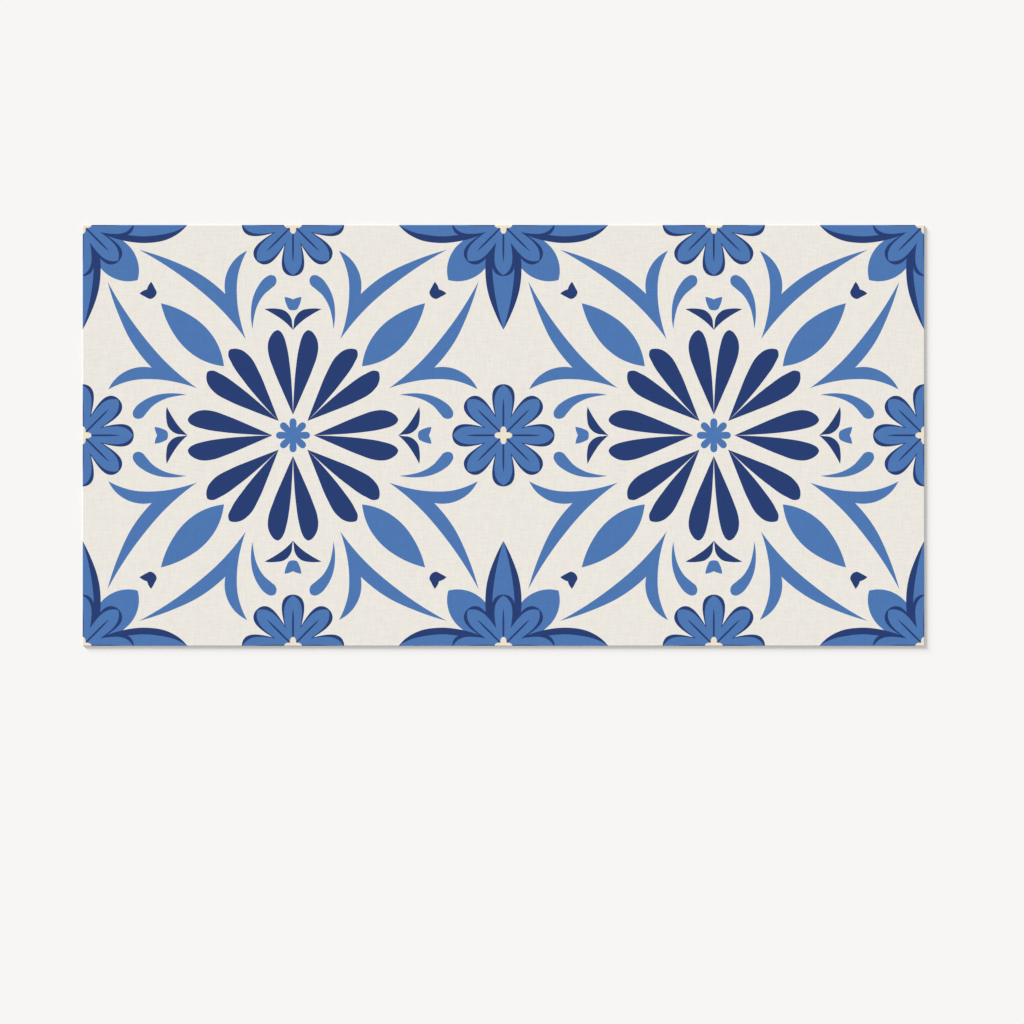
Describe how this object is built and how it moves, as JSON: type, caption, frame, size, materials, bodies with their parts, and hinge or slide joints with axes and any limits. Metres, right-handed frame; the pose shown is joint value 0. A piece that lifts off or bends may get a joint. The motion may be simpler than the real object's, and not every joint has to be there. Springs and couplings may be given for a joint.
{
  "type": "vinyl wall panel",
  "caption": "Thin flat rectangular vinyl wall panel with a square-cut edge, a blue floral tile print on its face and a plain back for gluing to a wall.",
  "frame": {"origin": "middle of the back face", "axes": "+X along the panel's width, +Y along its height on the wall, +Z out of the printed face"},
  "size_m": [1, 0.5, 0.0016],
  "materials": {
    "printed_vinyl": "matte printed vinyl with a fine linen emboss, blue and navy print on a cream ground, plain taupe cut edge and back"
  },
  "bodies": {
    "root": {"wall_panel": "printed_vinyl"}
  },
  "joints": []
}
